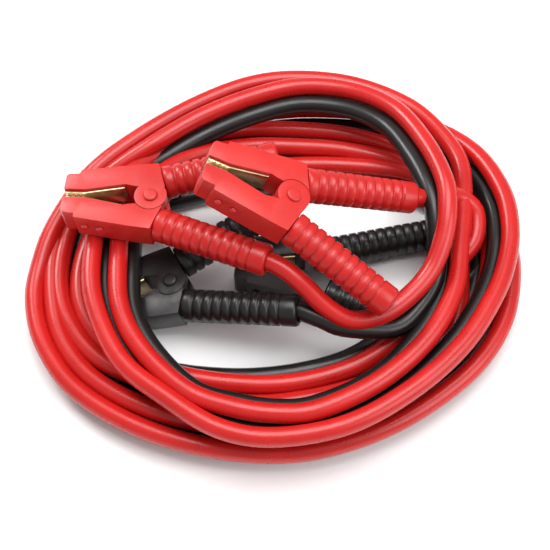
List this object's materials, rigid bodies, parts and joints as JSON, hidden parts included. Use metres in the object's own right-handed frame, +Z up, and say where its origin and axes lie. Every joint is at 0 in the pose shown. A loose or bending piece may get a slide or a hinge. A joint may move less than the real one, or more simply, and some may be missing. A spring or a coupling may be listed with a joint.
{
  "type": "car jumper cable",
  "caption": "Coiled red and black twin jumper cable with a sprung, toothed battery clamp with ribbed grips on each end.",
  "frame": {"origin": "on the floor, at the middle of the footprint of the clamps", "axes": "+Z up as it lies; +X to the right and +Y to the back of the coil as the picture shows it"},
  "size_m": [0.3917, 0.3411, 0.1387],
  "materials": {
    "red_cable": "satin red PVC",
    "black_cable": "satin black PVC",
    "red_cover": "satin red moulding",
    "black_cover": "satin black moulding",
    "red_grip": "soft ribbed red vinyl",
    "black_grip": "soft ribbed black vinyl",
    "jaw_plate": "plated pressed sheet",
    "steel": "bright zinc plate"
  },
  "bodies": {
    "cable_and_fixed_jaws": {"red_clamp_1_cable_jaw": "red_cover", "red_clamp_1_cable_jaw_plate": "jaw_plate", "red_clamp_1_cable_grip": "red_grip", "red_clamp_1_cable_rivet_1": "red_cover", "red_clamp_1_cable_rivet_2": "red_cover", "red_clamp_1_pivot_pin": "red_cover", "red_clamp_1_spring": "steel", "red_clamp_2_cable_jaw": "red_cover", "red_clamp_2_cable_jaw_plate": "jaw_plate", "red_clamp_2_cable_grip": "red_grip", "red_clamp_2_cable_rivet_1": "red_cover", "red_clamp_2_cable_rivet_2": "red_cover", "red_clamp_2_pivot_pin": "red_cover", "red_clamp_2_spring": "steel", "black_clamp_1_cable_jaw": "black_cover", "black_clamp_1_cable_jaw_plate": "jaw_plate", "black_clamp_1_cable_grip": "black_grip", "black_clamp_1_cable_rivet_1": "black_cover", "black_clamp_1_cable_rivet_2": "black_cover", "black_clamp_1_pivot_pin": "black_cover", "black_clamp_1_spring": "steel", "black_clamp_2_cable_jaw": "black_cover", "black_clamp_2_cable_jaw_plate": "jaw_plate", "black_clamp_2_cable_grip": "black_grip", "black_clamp_2_cable_rivet_1": "black_cover", "black_clamp_2_cable_rivet_2": "black_cover", "black_clamp_2_pivot_pin": "black_cover", "black_clamp_2_spring": "steel", "cable_coil": "red_cable", "red_lead_1": "red_cable", "red_lead_2": "red_cable", "black_lead_1": "black_cable", "black_lead_2": "black_cable"},
    "red_clamp_1_free_half": {"red_clamp_1_free_jaw": "red_cover", "red_clamp_1_free_jaw_plate": "jaw_plate", "red_clamp_1_free_grip": "red_grip", "red_clamp_1_free_rivet_1": "red_cover", "red_clamp_1_free_rivet_2": "red_cover"},
    "red_clamp_2_free_half": {"red_clamp_2_free_jaw": "red_cover", "red_clamp_2_free_jaw_plate": "jaw_plate", "red_clamp_2_free_grip": "red_grip", "red_clamp_2_free_rivet_1": "red_cover", "red_clamp_2_free_rivet_2": "red_cover"},
    "black_clamp_1_free_half": {"black_clamp_1_free_jaw": "black_cover", "black_clamp_1_free_jaw_plate": "jaw_plate", "black_clamp_1_free_grip": "black_grip", "black_clamp_1_free_rivet_1": "black_cover", "black_clamp_1_free_rivet_2": "black_cover"},
    "black_clamp_2_free_half": {"black_clamp_2_free_jaw": "black_cover", "black_clamp_2_free_jaw_plate": "jaw_plate", "black_clamp_2_free_grip": "black_grip", "black_clamp_2_free_rivet_1": "black_cover", "black_clamp_2_free_rivet_2": "black_cover"}
  },
  "joints": [
    {"name": "red_clamp_1_jaw_hinge", "type": "hinge", "parent": "cable_and_fixed_jaws", "child": "red_clamp_1_free_half", "pos_m": [-0.08005, 0.02256, 0.072], "axis": [0.0522, -0.0036, -0.9986], "range_deg": [0, 24], "stiffness_Nm_per_rad": 1, "springref_deg": -20.05},
    {"name": "red_clamp_2_jaw_hinge", "type": "hinge", "parent": "cable_and_fixed_jaws", "child": "red_clamp_2_free_half", "pos_m": [0.02345, 0.00156, 0.105], "axis": [0.3319, -0.0827, 0.9397], "range_deg": [0, 24], "stiffness_Nm_per_rad": 1, "springref_deg": -20.05},
    {"name": "black_clamp_1_jaw_hinge", "type": "hinge", "parent": "cable_and_fixed_jaws", "child": "black_clamp_1_free_half", "pos_m": [-0.06455, -0.02544, 0.0284], "axis": [0.2306, 0.0365, -0.9724], "range_deg": [0, 24], "stiffness_Nm_per_rad": 1, "springref_deg": -20.05},
    {"name": "black_clamp_2_jaw_hinge", "type": "hinge", "parent": "cable_and_fixed_jaws", "child": "black_clamp_2_free_half", "pos_m": [0.04945, -0.00444, 0.0133], "axis": [0, 0, 1], "range_deg": [0, 24], "stiffness_Nm_per_rad": 1, "springref_deg": -20.05}
  ]
}
